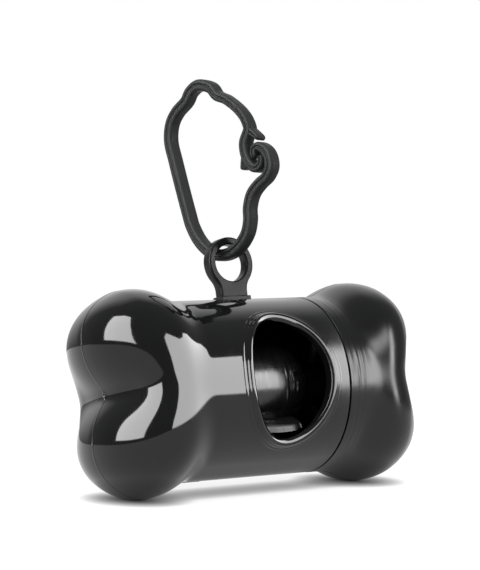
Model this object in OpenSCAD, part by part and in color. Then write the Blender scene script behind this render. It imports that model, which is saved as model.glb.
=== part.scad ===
// Bone shaped waste bag dispenser: barrel, screw cap, bag roll on its core, and strap clip.
// The barrel lies along X, the cap is at +X, the window faces -Y and the eyelet points up.
// The origin lies under the middle of the bone, on the surface that it rests on.

/* [Barrel] */
// Outer radius of the barrel
barrel_r = 20; // [17:0.5:24]
// Wall of the mouldings
wall = 1.8; // [1.4:0.1:2.4]
// Distance of the cap's seam from the middle of the bone
seam_x = 14.8; // [13.5:0.1:15.5]
// Width of the fine gap at the seam
seam_gap = 0.2; // [0.1:0.05:0.4]

/* [Bone ends] */
// Distance of the lobes' middle from the middle of the bone
lobe_x = 30; // [28:0.5:34]
// Height of each lobe's middle above or below the barrel's axis
lobe_z = 9.5; // [8.5:0.25:11]
// Half thickness of a lobe across its lean
lobe_thin = 10.1; // [9:0.1:11]
// Half length of a lobe along its lean
lobe_long = 12.1; // [11:0.1:13.5]
// Half depth of a lobe from front to back
lobe_deep = 18.5; // [16:0.25:20]
// Outward lean of a lobe in degrees
lobe_lean = 40; // [20:1:50]
// Size of the soft blend between the barrel and the lobes
lobe_blend = 10.5; // [7:0.5:12]
// Distance over which that blend grows from nothing at the seam
blend_run = 10.6; // [8:0.2:13]
// Size of the blend in the valley between two lobes
valley_blend = 3.8; // [2:0.2:6]
// How far the barrel's own core ends short of the lobes' middle
core_short = 1.7; // [0.5:0.1:3]

/* [Window] */
// Width of the window opening
window_w = 20.2; // [16:0.2:22]
// Height of the window opening, seen from the front
window_h = 26.8; // [22:0.2:28]
// Place of the window's middle along the barrel
window_x = -0.5; // [-2:0.1:1]
// Width of the raised rim round the window
rim_w = 2.4; // [1.8:0.1:3]
// Height of the rim above the barrel
rim_h = 0.7; // [0.4:0.1:1]

/* [Screw joint] */
// Length of the neck that the cap screws on to
neck_len = 9; // [7:0.5:10]
// Wall of the neck
neck_wall = 1.7; // [1.4:0.1:2.2]
// Wall of the cap's skirt over the neck
skirt_wall = 1.6; // [1.3:0.1:2]
// Radial clearance between neck and skirt
neck_gap = 0.3; // [0.2:0.05:0.4]
// Turn of the cap about the barrel where the screw comes tight, in degrees
cap_rest_turn = 3; // [0:1:8]

/* [Eyelet] */
// Radius of the eyelet ring
ring_r = 5.9; // [5.4:0.1:6.5]
// Radius of the hole in the eyelet
ring_hole_r = 4.2; // [4:0.1:4.5]
// Height of the hole's middle above the barrel's axis, beyond the barrel's radius
ring_rise = 8.4; // [7.8:0.1:9.5]
// Thickness of the eyelet plate
plate_t = 2.8; // [2.4:0.1:3.2]
// Width of the eyelet's neck
plate_neck_w = 7.1; // [6:0.1:8]
// Radius that blends the neck into the ring
plate_fillet = 4; // [3:0.25:5]
// Height of the low pad under the plate
pad_h = 0.8; // [0.4:0.1:1.2]
// How far the pad stands out round the plate
pad_edge = 0.45; // [0.2:0.05:0.8]
// Place of the eyelet along the barrel
eyelet_x = -0.4; // [-2:0.1:1]

/* [Bag roll] */
// Radius of the wound bags
roll_r = 11; // [8:0.1:13]
// Length of the wound bags
roll_len = 42.3; // [38:0.1:45]
// Free play between the left bone end and the bags or their core tube
end_play = 0.3; // [0.2:0.05:0.8]
// Outer radius of the core tube
core_r = 6; // [5.6:0.1:7]
// Wall of the core tube
core_wall = 0.95; // [0.8:0.05:1.2]
// How far the core tube stands out of each end of the bags
core_out = 0.8; // [0.4:0.1:1.2]
// Radial running clearance on the core tube
run_gap = 0.05; // [0.03:0.01:0.08]
// Wall of the hollow posts that carry the core tube
post_wall = 1.4; // [1.1:0.1:2]
// Length of the cap's post inside the core tube
post_grip = 14; // [10:1:20]
// Length of the barrel's short post inside the core tube
stub_grip = 8; // [6:1:12]
// Radial clearance of the barrel's short post
stub_gap = 0.35; // [0.3:0.05:0.5]

/* [Strap clip] */
// In-plane width of the strap
strap_w = 2.5; // [2.2:0.1:2.7]
// Depth of the strap from face to face
strap_d = 2.8; // [2.4:0.1:3]
// Depth of the groove along both faces of the strap
groove_d = 0.35; // [0:0.05:0.5]
// Height of the strap's middle in the eyelet above the middle of the hole
strap_rise = 2.05; // [1.7:0.05:2.2]
// Turn of the clip about the upright in degrees
clip_turn = 14; // [0:1:25]

/* [Hidden] */

plastic = [0.13, 0.135, 0.135];
film = [0.2, 0.2, 0.2];

// Facets round a bone end, rings along its side and rings over its end
end_around = 64;
side_rings = 5;
over_rings = 14;
inner_around = 40;
inner_side_rings = 4;
inner_over_rings = 8;
search_steps = 15;
search_span = 30;
hub_in = 6;
hub_x = lobe_x - hub_in;
tuck = 0.6;
tuck_in = 0.3;
hair = 0.015;
over = 1;

// Blended form of the bone, as a distance that is negative inside
function clamp(v, lowest, highest) = max(lowest, min(highest, v));
function soft_min(a, b, k) =
    let (h = clamp(0.5 + 0.5 * (b - a) / k, 0, 1)) b * (1 - h) + a * h - k * h * (1 - h);
function ellipsoid_gap(p, r) =
    let (q = [p.x / r.x, p.y / r.y, p.z / r.z], reach = norm(q))
    reach * (reach - 1) / norm([q.x / r.x, q.y / r.y, q.z / r.z]);
function lobe_gap(p, side) =
    let (dx = p.x - lobe_x, dz = side * p.z - lobe_z, c = cos(lobe_lean), s = sin(lobe_lean))
    ellipsoid_gap([c * dx - s * dz, p.y, s * dx + c * dz], [lobe_thin, lobe_deep, lobe_long]);
function core_gap(p) = max(norm([p.y, p.z]) - barrel_r, p.x - lobe_x + core_short);
function blend_at(x) = lobe_blend * clamp((x - seam_x) / blend_run, 0.02, 1);
function bone_gap(p) =
    soft_min(core_gap(p), soft_min(lobe_gap(p, 1), lobe_gap(p, -1), valley_blend), blend_at(p.x));

// Distance along a ray from inside the bone to its surface, set in by a depth
function reach_out(from, way, depth, near, far, steps) =
    steps == 0 ? (near + far) / 2
    : let (half = (near + far) / 2)
      bone_gap(from + half * way) + depth < 0
      ? reach_out(from, way, depth, half, far, steps - 1)
      : reach_out(from, way, depth, near, half, steps - 1);
function surface_point(from, way, depth) =
    from + way * reach_out(from, way, depth, 0, search_span, search_steps);
function side_ring(x, depth, count) =
    [for (i = [0:count - 1]) let (a = 360 * i / count)
        surface_point([x, 0, 0], [0, cos(a), sin(a)], depth)];
function over_ring(lift, depth, count) =
    [for (i = [0:count - 1]) let (a = 360 * i / count)
        surface_point([hub_x, 0, 0], [sin(lift), cos(lift) * cos(a), cos(lift) * sin(a)], depth)];
function round_ring(x, r, count) =
    [for (i = [0:count - 1]) let (a = 360 * i / count) [x, r * cos(a), r * sin(a)]];
function bone_tip(depth) = surface_point([hub_x, 0, 0], [1, 0, 0], depth);
function tip_x(depth) = bone_tip(depth).x;

// Solid from rings of equal count, closed flat at the start and by a point at the end
module ring_solid(rings, tip, count) {
    rows = len(rings);
    points = [for (ring = rings) each ring, tip];
    skin = [for (r = [0:rows - 2], i = [0:count - 1], half = [0, 1])
        let (j = (i + 1) % count, a = r * count, b = a + count)
        half == 0 ? [a + i, b + i, a + j] : [a + j, b + i, b + j]];
    last = (rows - 1) * count;
    cone = [for (i = [0:count - 1]) [last + i, rows * count, last + (i + 1) % count]];
    start = [[for (i = [0:count - 1]) i]];
    polyhedron(points, concat(skin, cone, start), convexity = 6);
}

// Outer form of one bone end from a start station, with optional first rings of its own
module bone_end(start_x, first) {
    stations = [for (i = [0:side_rings]) start_x + (hub_x - start_x) * i / side_rings];
    rings = concat(first,
        [for (x = stations) side_ring(x, 0, end_around)],
        [for (i = [1:over_rings - 1]) over_ring(90 * i / over_rings, 0, end_around)]);
    ring_solid(rings, bone_tip(0), end_around);
}

// Hollow of one bone end, one wall inside its outer form
module bone_hollow(start_x, first) {
    stations = [for (i = [0:inner_side_rings])
        start_x + (hub_x - start_x) * i / inner_side_rings];
    rings = concat(first,
        [for (x = stations) side_ring(x, wall, inner_around)],
        [for (i = [1:inner_over_rings - 1])
            over_ring(90 * i / inner_over_rings, wall, inner_around)]);
    ring_solid(rings, bone_tip(wall), inner_around);
}

// Cylinder along X between two stations
module rod(x1, x2, r) {
    translate([x1, 0, 0]) rotate([0, 90, 0]) cylinder(h = x2 - x1, r = r, $fn = 96);
}

module on_axis() {
    translate([0, 0, axis_h]) children();
}

// The lobes' reach gives the height of the barrel's axis over the surface
lobe_reach = [for (i = [0:over_rings - 1]) let (lift = 90 * i / over_rings)
    surface_point([hub_x, 0, 0], [sin(lift), 0, cos(lift)], 0).z];
axis_h = max(lobe_reach);

// Screw joint
skirt_bore_r = barrel_r - skirt_wall;
neck_r = skirt_bore_r - neck_gap;
neck_bore_r = neck_r - neck_wall;
neck_end_x = seam_x + neck_len;
cavity_r = barrel_r - wall;
shoulder_x = seam_x - 2.6;
cap_face_x = seam_x + seam_gap;
skirt_end_x = neck_end_x + 0.6;
end_start_x = -seam_x;

// Roll and the posts that carry it: the roll stands against the left end's inner face
function end_room(r) = min([for (a = [0:15:345])
    surface_point([hub_x, r * cos(a), r * sin(a)], [1, 0, 0], wall).x]);
roll_start_x = end_play - min(end_room(roll_r), end_room(core_r) - core_out);
roll_end_x = roll_start_x + roll_len;
bag_bore_r = core_r + run_gap;
core_bore_r = core_r - core_wall;
core_left_x = roll_start_x - core_out;
core_right_x = roll_end_x + core_out;
post_r = core_bore_r - run_gap;
stub_r = core_bore_r - stub_gap;

// Window rim
rim_parts = 48;
rim_section = [[-0.5, -1], [-0.5, 0.1], [-0.36, 0.68], [-0.12, 1], [0.16, 0.94], [0.38, 0.55],
    [0.5, -0.05], [0.5, -1]];
window_half_w = window_w / 2;
window_half_h = window_h / 2;
rim_inset = 0.25;

function oval(grow, a) =
    [window_x + (window_half_w + grow) * cos(a), (window_half_h + grow) * sin(a)];
function on_barrel(flat) = [flat.x, -sqrt(pow(barrel_r, 2) - pow(flat.y, 2)), flat.y];
function rim_frame(a) =
    let (here = on_barrel(oval(rim_w / 2 - rim_inset, a)),
         next = on_barrel(oval(rim_w / 2 - rim_inset, a + 1)),
         along = (next - here) / norm(next - here),
         up = [0, here.y, here.z] / barrel_r,
         across = cross(up, along))
    [here, across / norm(across), up];

module loop_solid(rings, count) {
    rows = len(rings);
    skin = [for (r = [0:rows - 1], i = [0:count - 1], half = [0, 1])
        let (j = (i + 1) % count, a = r * count, b = ((r + 1) % rows) * count)
        half == 0 ? [a + i, a + j, b + i] : [a + j, b + j, b + i]];
    polyhedron([for (ring = rings) each ring], skin, convexity = 8);
}

module window_rim() {
    rings = [for (i = [0:rim_parts - 1]) let (f = rim_frame(360 * i / rim_parts))
        [for (s = rim_section) f[0] + f[1] * s.x * rim_w + f[2] * s.y * rim_h]];
    loop_solid(rings, len(rim_section));
}

module window_cut() {
    rotate([90, 0, 0]) linear_extrude(height = barrel_r + over)
        polygon([for (i = [0:rim_parts - 1]) oval(0, 360 * (i + 0.5) / rim_parts)]);
}

// Eyelet plate, drawn in its own plane and extruded through its thickness
ring_z = barrel_r + ring_rise;
blend_x = plate_neck_w / 2 + plate_fillet;
blend_z = ring_z - sqrt(pow(ring_r + plate_fillet, 2) - pow(blend_x, 2));

module eyelet_outline() {
    touch = [blend_x, blend_z - ring_z] * ring_r / (ring_r + plate_fillet);
    circle(r = ring_r, $fn = 96);
    translate([-plate_neck_w / 2, cavity_r + 0.5 - ring_z])
        square([plate_neck_w, blend_z - cavity_r]);
    difference() {
        polygon([[-blend_x, blend_z - ring_z], [blend_x, blend_z - ring_z],
            [touch.x, touch.y], [0, 0], [-touch.x, touch.y]]);
        for (side = [-1, 1])
            translate([side * blend_x, blend_z - ring_z]) circle(r = plate_fillet, $fn = 96);
    }
}

module eyelet() {
    translate([eyelet_x, plate_t / 2, ring_z]) rotate([90, 0, 0])
        linear_extrude(height = plate_t) eyelet_outline();
    translate([eyelet_x - plate_neck_w / 2 - pad_edge, -plate_t / 2 - pad_edge, cavity_r + 0.5])
        cube([plate_neck_w + 2 * pad_edge, plate_t + 2 * pad_edge, pad_h + wall - 0.5]);
}

module eyelet_hole() {
    translate([eyelet_x, plate_t, ring_z]) rotate([90, 0, 0])
        cylinder(h = 2 * plate_t, r = ring_hole_r, $fn = 96);
}

// Left bone end, a shell whose first ring is tucked into the barrel's wall
module left_end() {
    mirror([1, 0, 0]) difference() {
        bone_end(seam_x + tuck, [round_ring(seam_x - tuck, barrel_r - tuck_in, end_around),
            round_ring(seam_x - tuck_in, barrel_r - hair, end_around)]);
        bone_hollow(seam_x + tuck, [round_ring(seam_x - 2 * tuck, cavity_r + hair, inner_around)]);
    }
}

module barrel_shell() {
    color(plastic) on_axis() {
        difference() {
            union() {
                difference() {
                    rod(end_start_x, seam_x, barrel_r);
                    rod(end_start_x - over, shoulder_x, cavity_r);
                }
                window_rim();
                eyelet();
            }
            rod(shoulder_x - over, seam_x + over, neck_bore_r);
            window_cut();
            eyelet_hole();
        }
        difference() {
            rod(shoulder_x, neck_end_x, neck_r);
            rod(shoulder_x - over, neck_end_x + over, neck_bore_r);
        }
        left_end();
        difference() {
            rod(-tip_x(wall / 2), core_left_x + stub_grip, stub_r);
            rod(-tip_x(-over), core_left_x + stub_grip + over, stub_r - post_wall);
        }
    }
}

module screw_cap() {
    color(plastic) on_axis() rotate([cap_rest_turn, 0, 0]) {
        difference() {
            bone_end(cap_face_x, []);
            rod(seam_x - over, skirt_end_x, skirt_bore_r);
            bone_hollow(skirt_end_x - tuck, []);
        }
        difference() {
            rod(core_right_x - post_grip, tip_x(wall / 2), post_r);
            rod(core_right_x - post_grip - over, tip_x(wall) - post_wall, post_r - post_wall);
        }
    }
}

module roll_core() {
    color(film) on_axis() difference() {
        rod(core_left_x, core_right_x, core_r);
        rod(core_left_x - over, core_right_x + over, core_bore_r);
    }
}

// Wound bags: the right end draws in as a rounded shoulder where the film is gathered
gather_len = 8;
gather_in = 4.6;
gather_steps = 5;
edge_r = 0.8;

module bag_roll() {
    shoulder = [for (i = [0:gather_steps]) let (a = 90 * i / gather_steps)
        [roll_r - gather_in * (1 - cos(a)), roll_len - gather_len * (1 - sin(a))]];
    color(film) on_axis() translate([roll_start_x, 0, 0]) rotate([0, 90, 0])
        rotate_extrude($fn = 96)
            polygon(concat([[bag_bore_r, 0], [roll_r - edge_r, 0], [roll_r, edge_r]],
                shoulder, [[bag_bore_r, roll_len]]));
}

// Strap clip: middle line in the clip's plane from one hook round the loop to the other.
// Each point has its place across and above the eyelet crossing, and its share of the width.
// An ear over the far hook and a heel under the near hook keep the two from slipping apart.
loop_points = [
    [13.95, 20.1, 0.56], [14, 19, 0.58], [13.55, 18, 0.62], [12.4, 17.45, 0.7],
    [11.3, 17.85, 0.77], [10.2, 19.25, 0.84], [9.5, 20.95, 0.89], [9.35, 22.75, 0.93],
    [9.6, 24.15, 0.93], [10.4, 25.45, 0.88], [11.1, 26.65, 0.82], [10.9, 28.05, 0.8],
    [10.1, 29.9, 0.78], [8.4, 32.1, 0.78], [5.6, 34.65, 0.8], [2.9, 36.25, 0.88],
    [1.2, 38.5, 0.98], [-2.2, 39.85, 1], [-5, 38.95, 1], [-6.8, 37.05, 1], [-10, 35.25, 1],
    [-12.2, 32.75, 1], [-13.1, 28.95, 1], [-12.4, 24.25, 1], [-11.3, 17.85, 1],
    [-10.1, 11.45, 1], [-9.3, 8.05, 1], [-7.3, 4.15, 1], [-4, 1, 1], [0, 0, 1],
    [3.8, 0.95, 1], [6.8, 3.45, 1], [8.1, 6.35, 1], [8.5, 9.25, 1], [9.9, 12.05, 1],
    [12.3, 13.85, 0.94], [14.6, 14.95, 0.9], [16, 16.55, 1], [16.3, 18.25, 1],
    [15.9, 19.95, 0.96], [15, 21.25, 0.86], [13.6, 22.15, 0.76], [12.4, 21.85, 0.66],
    [12.05, 20.8, 0.58], [12.2, 19.75, 0.56]];
ear_points = [[11.1, 26.5, 0.7], [12.45, 25.35, 0.6], [13.5, 24.4, 0.48], [14.1, 23.6, 0.35]];
heel_points = [[9.3, 20.55, 0.7], [9.05, 19.2, 0.85], [9, 17.75, 1.15]];
curve_steps = 3;
branch_step = 0.8;
edge_share = 0.22;
groove_share = 0.2;

function on_curve(p, i, t) =
    let (n = len(p) - 1, a = p[max(i - 1, 0)], b = p[i], c = p[i + 1], d = p[min(i + 2, n)])
    b + (c - a) * t / 2 + (2 * a - 5 * b + 4 * c - d) * t * t / 2
    + (3 * b - a - 3 * c + d) * t * t * t / 2;
function curve(p) = concat(
    [for (i = [0:len(p) - 2], k = [0:curve_steps - 1]) on_curve(p, i, k / curve_steps)],
    [p[len(p) - 1]]);
function heading(line, i) =
    let (d = line[min(i + 1, len(line) - 1)] - line[max(i - 1, 0)]) [d.x, d.y] / norm([d.x, d.y]);

// Strap section across its width and depth, with chamfered edges and a groove in each face
function strap_section(w, d) =
    let (x = w / 2, y = d / 2, c = edge_share * w, g = groove_share * w)
    [[x, -y + c], [x, y - c], [x - c, y], [g / 2, y], [0, y - groove_d], [-g / 2, y],
     [c - x, y], [-x, y - c], [-x, c - y], [c - x, -y], [-g / 2, -y], [0, groove_d - y],
     [g / 2, -y], [x - c, -y]];

module strap(points, d) {
    line = curve(points);
    count = len(strap_section(strap_w, d));
    rings = [for (i = [0:len(line) - 1])
        let (h = heading(line, i), w = strap_w * line[i][2])
        [for (s = strap_section(w, d)) [line[i].x + h.y * s.x, s.y, line[i].y - h.x * s.x]]];
    rows = len(rings);
    skin = [for (r = [0:rows - 2], i = [0:count - 1], half = [0, 1])
        let (j = (i + 1) % count, a = r * count, b = a + count)
        half == 0 ? [a + i, b + i, a + j] : [a + j, b + i, b + j]];
    ends = [[for (i = [0:count - 1]) i], [for (i = [count - 1:-1:0]) (rows - 1) * count + i]];
    polyhedron([for (ring = rings) each ring], concat(skin, ends), convexity = 10);
}

module strap_clip() {
    color(plastic) translate([eyelet_x, 0, axis_h + ring_z + strap_rise])
        rotate([0, 0, clip_turn - 90]) {
            strap(loop_points, strap_d);
            strap(ear_points, strap_d - branch_step);
            strap(heel_points, strap_d - branch_step);
        }
}

barrel_shell();
screw_cap();
roll_core();
bag_roll();
strap_clip();
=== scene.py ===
import math

import bmesh
import bpy
import numpy as np
from mathutils import Matrix, Vector


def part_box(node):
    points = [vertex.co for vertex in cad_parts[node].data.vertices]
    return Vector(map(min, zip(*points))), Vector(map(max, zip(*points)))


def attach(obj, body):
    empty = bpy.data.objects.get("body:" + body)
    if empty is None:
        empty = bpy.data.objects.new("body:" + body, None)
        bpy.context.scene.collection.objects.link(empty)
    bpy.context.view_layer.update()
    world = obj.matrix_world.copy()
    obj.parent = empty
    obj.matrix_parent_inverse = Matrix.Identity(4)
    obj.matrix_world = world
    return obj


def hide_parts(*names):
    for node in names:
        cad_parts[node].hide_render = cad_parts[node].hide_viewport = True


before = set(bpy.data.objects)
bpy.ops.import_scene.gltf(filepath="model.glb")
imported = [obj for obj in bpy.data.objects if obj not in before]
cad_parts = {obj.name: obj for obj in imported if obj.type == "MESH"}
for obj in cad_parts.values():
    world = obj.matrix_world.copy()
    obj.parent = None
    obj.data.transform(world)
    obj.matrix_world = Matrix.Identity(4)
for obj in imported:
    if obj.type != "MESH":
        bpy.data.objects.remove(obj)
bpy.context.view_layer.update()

# Sizes of the dispenser, in millimetres, as in the construction
MM = 0.001
FULL_TURN = 2 * math.pi
BARREL_R = 20.0
WALL = 1.8
CAVITY_R = BARREL_R - WALL
WINDOW_X = -0.5
WINDOW_HALF = (10.1, 13.4)
SEAM_X = 14.8
SEAM_GAP = 0.2
SHOULDER_X = SEAM_X - 2.6
NECK_END_X = SEAM_X + 9
NECK_R = 18.1
NECK_BORE_R = 16.4
CAP_FACE_X = SEAM_X + SEAM_GAP
SKIRT_END_X = NECK_END_X + 0.6
SKIRT_BORE_R = 18.4
CAP_REST_TURN = math.radians(3)
THREAD_PITCH = 3.0
EYELET_X = -0.4
RING_Z = BARREL_R + 8.4
RING_R = 5.9
RING_HOLE_R = 4.2
PLATE_T = 2.8
PLATE_NECK_W = 7.1
PLATE_FILLET = 4.0
PLATE_FOOT_Z = CAVITY_R + 0.8
PAD_H = 0.8
PAD_EDGE = 0.45
POST_R = 5.0
STUB_R = 4.7
STUB_LEN = 8
POST_WALL = 1.4
STRAP_RISE = 2.05
CLIP_TURN = math.radians(14)

# The seam's two edges stand back a little and are rounded, so that its dark line shows
SEAM_EASE = 0.14
EDGE = 0.07
BARREL_END_X = SEAM_X - SEAM_EASE
CAP_START_X = CAP_FACE_X + SEAM_EASE

# Bone ends, in millimetres: two leaning lobes, joined softly to a core with a rounded edge
LOBE_X = 29.6
LOBE_Z = 9.77
LOBE_RADII = (10.84, 17.28, 12.38)
LOBE_LEAN = math.radians(36.1)
LOBE_BLEND = 12.77
BLEND_FROM_X = 15.0
BLEND_RUN = 17.48
BLEND_LEAST = 0.02
BLEND_FADE_X = (24.26, 39.98)
BLEND_FADE = 0.6
VALLEY_BLEND = 2.32
CORE_END_X = 33.8
CORE_EDGE = 7.81
CORE_DISH = 0.8

# Rays find the bone's surface from its axis, and from this hub over its end
HUB_X = 24.0
HUB = np.array([HUB_X, 0.0, 0.0])
RAY_REACH = 32.0
RAY_HALVINGS = 26

# Guard against division by zero, and largest step between numbers that count as the same
TINY = 1e-9
SAME = 1e-6


def mid_height(node):
    """Height of a node's middle above the floor, in millimetres."""
    low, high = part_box(node)
    return (low.z + high.z) / 2 / MM


def ends_x(node):
    """Stations of a node's left and right ends, in millimetres."""
    low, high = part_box(node)
    return low.x / MM, high.x / MM


AXIS_Z = mid_height("roll_core")
CORE_LEFT_X = ends_x("roll_core")[0]
ROLL_LEFT_X, ROLL_RIGHT_X = ends_x("bag_roll")
POST_START_X = ends_x("screw_cap")[0]


# Form of the bone, as a distance that is negative inside
def soft_min(first, second, blend):
    """Smaller of two distances, joined by a fillet whose curvature changes gently."""
    reach = 1.5 * blend
    share = np.maximum(reach - np.abs(first - second), 0) / reach
    return np.minimum(first, second) - share ** 3 * reach / 6


def smooth_step(value):
    """Share from 0 to 1 that starts and ends gently."""
    share = np.clip(value, 0, 1)
    return share * share * (3 - 2 * share)


def hump(distance, width):
    """Round hump of height 1 that falls off over a width."""
    return np.exp(-(distance / width) ** 2)


def lobe_gap(x, y, z, side):
    """Distance to the lobe above the axis, or to the one below it when side is -1."""
    cosine, sine = math.cos(LOBE_LEAN), math.sin(LOBE_LEAN)
    dx, dz = x - LOBE_X, side * z - LOBE_Z
    scaled = [(cosine * dx - sine * dz) / LOBE_RADII[0], y / LOBE_RADII[1],
              (sine * dx + cosine * dz) / LOBE_RADII[2]]
    reach = np.sqrt(sum(part ** 2 for part in scaled)) + TINY
    slope = np.sqrt(sum((part / radius) ** 2 for part, radius in zip(scaled, LOBE_RADII))) + TINY
    return reach * (reach - 1) / slope


def core_gap(x, r):
    """Distance to the cylinder between the lobes, whose dished end has a rounded edge."""
    end = CORE_END_X - CORE_DISH * (1 - np.clip(r / BARREL_R, 0, 1) ** 2)
    over_side, over_end = r - BARREL_R + CORE_EDGE, x - end + CORE_EDGE
    outside = np.hypot(np.maximum(over_side, 0), np.maximum(over_end, 0))
    return outside + np.minimum(np.maximum(over_side, over_end), 0) - CORE_EDGE


def bone_gap(places):
    """Distance from places, measured from the middle of the axis, to the bone's surface."""
    x, y, z = np.abs(places[..., 0]), places[..., 1], places[..., 2]
    lobes = soft_min(lobe_gap(x, y, z, 1), lobe_gap(x, y, z, -1), VALLEY_BLEND)
    fade = smooth_step((x - BLEND_FADE_X[0]) / (BLEND_FADE_X[1] - BLEND_FADE_X[0]))
    blend = LOBE_BLEND * np.clip((x - BLEND_FROM_X) / BLEND_RUN, BLEND_LEAST, 1) * (1 - BLEND_FADE * fade)
    return soft_min(core_gap(x, np.hypot(y, z)), lobes, blend)


def bone_surface(start, way, depth=0.0):
    """Points where rays from inside the bone meet its surface, set in by a depth."""
    near, far = np.zeros(way.shape[:-1]), np.full(way.shape[:-1], RAY_REACH)
    for _ in range(RAY_HALVINGS):
        half = (near + far) / 2
        inside = bone_gap(start + way * half[..., None]) + depth < 0
        near, far = np.where(inside, half, near), np.where(inside, far, half)
    return start + way * ((near + far) / 2)[..., None]


# Angles round the barrel, finer at the mould's parting line over the top and underneath
TURN_STEP = 1.875
PART_OFFSETS = np.radians([-0.9, -0.6, -0.35, -0.15, 0.15, 0.35, 0.6, 0.9])
TURNS = np.sort(np.concatenate([np.radians(np.arange(0, 360, TURN_STEP)), math.pi / 2 + PART_OFFSETS,
                                3 * math.pi / 2 + PART_OFFSETS]))
FRONT_FROM, FRONT_TO = math.radians(105), math.radians(255)
RIDGE_H = 0.07
RIDGE_W = 0.12

# Steps of the rings along a bone end, up to the hub and over the end, outside and inside
LEFT_STEPS = 26
CAP_STEPS = 80
OVER_STEPS = 60
INNER_STEPS = 12
INNER_OVER_STEPS = 30
MIRROR = np.array([-1, 1, 1])

# Marks on the left tip: where its rings turn fine, in degrees, then the marks' places across and
# above the axis, heights and widths
MARKS_FROM = 79
MARKS_STEP = 0.5
GATE_AT = (0.0, 0.12)
GATE_R = 0.65
GATE_H, GATE_W = 0.09, 0.17
DIMPLE_D, DIMPLE_W = 0.2, 0.36
DOT_AT = (2.95, -0.45)
DOT_H, DOT_W = 0.06, 0.26


def round_ring(x, r, turns=TURNS):
    """Ring at a station, on one radius or on one for each angle."""
    return np.stack([np.full(len(turns), x), r * np.cos(turns), r * np.sin(turns)], -1)


def ring_ways(lift):
    """Directions round the axis that lean by an angle towards the tip."""
    return np.stack([np.full(len(TURNS), math.sin(lift)), math.cos(lift) * np.cos(TURNS),
                     math.cos(lift) * np.sin(TURNS)], -1)


def side_ring(x, depth=0.0):
    return bone_surface(np.array([x, 0.0, 0.0]), ring_ways(0.0), depth)


def over_ring(lift, depth=0.0):
    return bone_surface(HUB, ring_ways(lift), depth)


def bone_tip(depth=0.0):
    return bone_surface(HUB, np.array([[1.0, 0.0, 0.0]]), depth)[0]


def end_rings(start_x, side_steps, lifts, depth=0.0):
    """Rings of one bone end from a start station to just short of its tip."""
    sides = [side_ring(x, depth) for x in np.linspace(start_x, HUB_X, side_steps + 1)]
    return sides + [over_ring(lift, depth) for lift in lifts]


def even_lifts(steps):
    return np.radians(90) * np.arange(1, steps) / steps


def marked_lifts():
    """Even steps that turn fine near the tip, where the mould's small marks are."""
    coarse = even_lifts(OVER_STEPS)
    fine = np.radians(np.arange(MARKS_FROM, 90 - MARKS_STEP / 2, MARKS_STEP))
    return np.concatenate([coarse[coarse < fine[0] - SAME], fine])


def with_ridge(rings):
    """Raises the fine parting line where a mould's halves met."""
    raised = []
    for ring in rings:
        lift = RIDGE_H * hump(ring[:, 1], RIDGE_W)
        hub = np.zeros_like(ring)
        hub[:, 0] = np.where(ring[:, 0] > HUB_X, HUB_X, ring[:, 0])
        away = ring - hub
        raised.append(ring + away / np.linalg.norm(away, axis=1, keepdims=True) * lift[:, None])
    return raised


def mark_height(y, z):
    """Gate mark at the tip, a small ring round a dimple, and an ejector's dot behind it."""
    gate = np.hypot(y - GATE_AT[0], z - GATE_AT[1])
    dot = np.hypot(y - DOT_AT[0], z - DOT_AT[1])
    height = GATE_H * hump(gate - GATE_R, GATE_W) - DIMPLE_D * hump(gate, DIMPLE_W)
    return height + DOT_H * hump(dot, DOT_W)


def with_marks(rings):
    for ring in rings:
        ring[:, 0] += mark_height(ring[:, 1], ring[:, 2]) * (ring[:, 0] > HUB_X)
    return rings


# Meshes
def add_object(name, data):
    made = bpy.data.objects.new(name, data)
    bpy.context.scene.collection.objects.link(made)
    return made


def weld_mesh(mesh, weld, thinnest=None):
    """Joins points that lie together, drops what is thinner than a limit, turns faces outwards."""
    work = bmesh.new()
    work.from_mesh(mesh)
    bmesh.ops.remove_doubles(work, verts=work.verts, dist=weld)
    if thinnest:
        bmesh.ops.dissolve_degenerate(work, edges=work.edges, dist=thinnest)
    bmesh.ops.recalc_face_normals(work, faces=work.faces)
    work.to_mesh(mesh)
    work.free()


class Skin:
    """Collects points in millimetres and faces, and becomes one mesh object."""

    def __init__(self):
        self.points, self.faces, self.total = [], [], 0

    def add(self, points):
        points = np.asarray(points, float).reshape(-1, 3)
        self.points.append(points)
        self.total += len(points)
        return self.total - len(points)

    def strip(self, rings, closed=True):
        """Faces between rows of points of equal count."""
        rows, count = len(rings), len(rings[0])
        first = self.add(np.concatenate([np.asarray(ring) for ring in rings]))
        for row in range(rows - 1):
            start = first + row * count
            for i in range(count if closed else count - 1):
                j = (i + 1) % count
                self.faces.append((start + i, start + j, start + count + j, start + count + i))

    def close(self, ring, point):
        """Fan of faces from a ring to one point."""
        first, tip = self.add(ring), self.add([point])
        for i in range(len(ring)):
            self.faces.append((first + i, first + (i + 1) % len(ring), tip))

    def build(self, name, lift=AXIS_Z, turn=0.0, weld=0.002, sharp=40):
        mesh = bpy.data.meshes.new(name)
        mesh.from_pydata(np.concatenate(self.points).tolist(), [], self.faces)
        weld_mesh(mesh, weld, weld / 4)
        place = Matrix.Translation((0, 0, lift)) @ Matrix.Rotation(turn, 4, "X")
        mesh.transform(Matrix.Scale(MM, 4) @ place)
        mesh.polygons.foreach_set("use_smooth", [True] * len(mesh.polygons))
        mesh.set_sharp_from_angle(angle=math.radians(sharp))
        return add_object(name, mesh)


def close_ends(skin, rings):
    for ring in (rings[0], rings[-1]):
        skin.close(ring, ring.mean(0))


# Window: an oval cut through the front of the barrel, drawn on the unrolled surface
PATCH_STEPS = 40
PATCH_DRAW = 1.2
OUTER_ROWS = 14
INNER_ROWS = 12
NUDGE = 1e-3

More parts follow.
